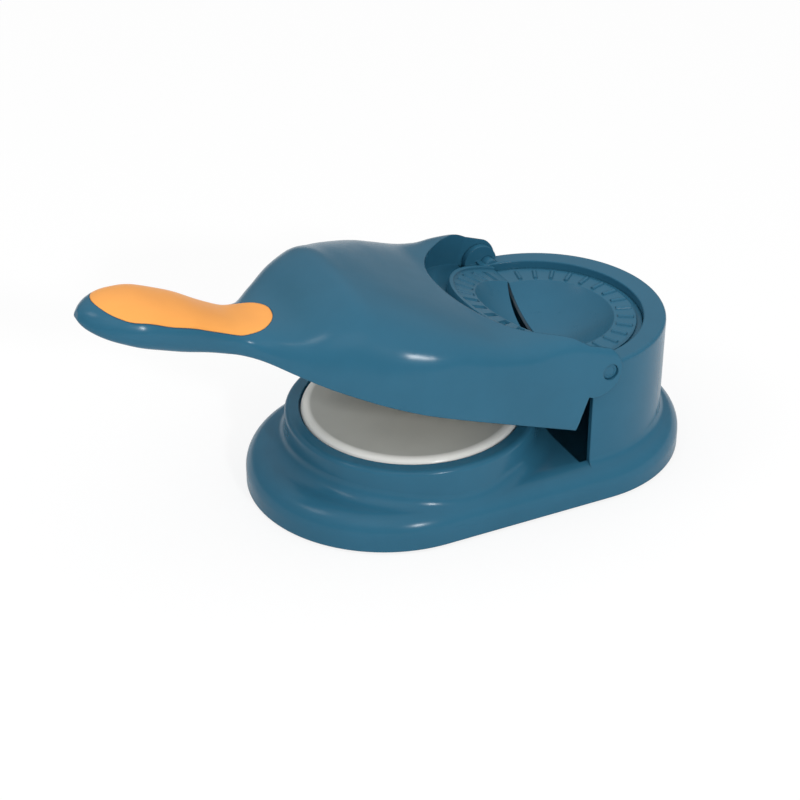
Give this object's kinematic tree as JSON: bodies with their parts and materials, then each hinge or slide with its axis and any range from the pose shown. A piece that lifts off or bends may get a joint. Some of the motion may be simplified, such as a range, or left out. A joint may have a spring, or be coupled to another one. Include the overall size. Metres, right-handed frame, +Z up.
{
  "type": "dumpling press",
  "caption": "Hand lever press that flattens dough on a round plate and folds it shut in a hinged half-moon mould.",
  "frame": {"origin": "on the worktop, at the middle of the bounding box, lever at rest", "axes": "+X to the rear, from the handle towards the folding mould; +Y to the left; +Z up"},
  "size_m": [0.2642, 0.118, 0.1137],
  "materials": {
    "body_plastic": "satin moulded plastic, mid blue",
    "grip_plastic": "satin moulded plastic, orange",
    "plate_plastic": "satin food-grade plastic, warm white",
    "mould_plastic": "satin moulded plastic, mid blue",
    "foot_rubber": "matt black rubber",
    "screw_steel": "plain bright steel"
  },
  "bodies": {
    "base": {"base_shell": "body_plastic", "base_bottom_cover": "body_plastic", "base_cover_screws": "screw_steel", "press_plate": "plate_plastic", "press_plate_screws": "screw_steel", "rear_mould": "mould_plastic", "rear_mould_screws": "screw_steel", "pivot_pin_left": "body_plastic", "pivot_pin_right": "body_plastic", "rubber_foot_1": "foot_rubber", "rubber_foot_2": "foot_rubber", "rubber_foot_3": "foot_rubber", "rubber_foot_4": "foot_rubber"},
    "lever": {"lever_shell": "body_plastic", "grip_inlay": "grip_plastic", "grip_screws": "screw_steel", "underside_cover": "body_plastic", "underside_cover_screws": "screw_steel", "press_disc": "plate_plastic", "press_disc_screws": "screw_steel", "front_mould": "mould_plastic", "front_mould_screws": "screw_steel"}
  },
  "joints": [
    {"name": "lever_hinge", "type": "hinge", "parent": "base", "child": "lever", "pos_m": [0.07066, 0, 0.061], "axis": [0, 1, 0], "range_deg": [-20, 160]}
  ]
}
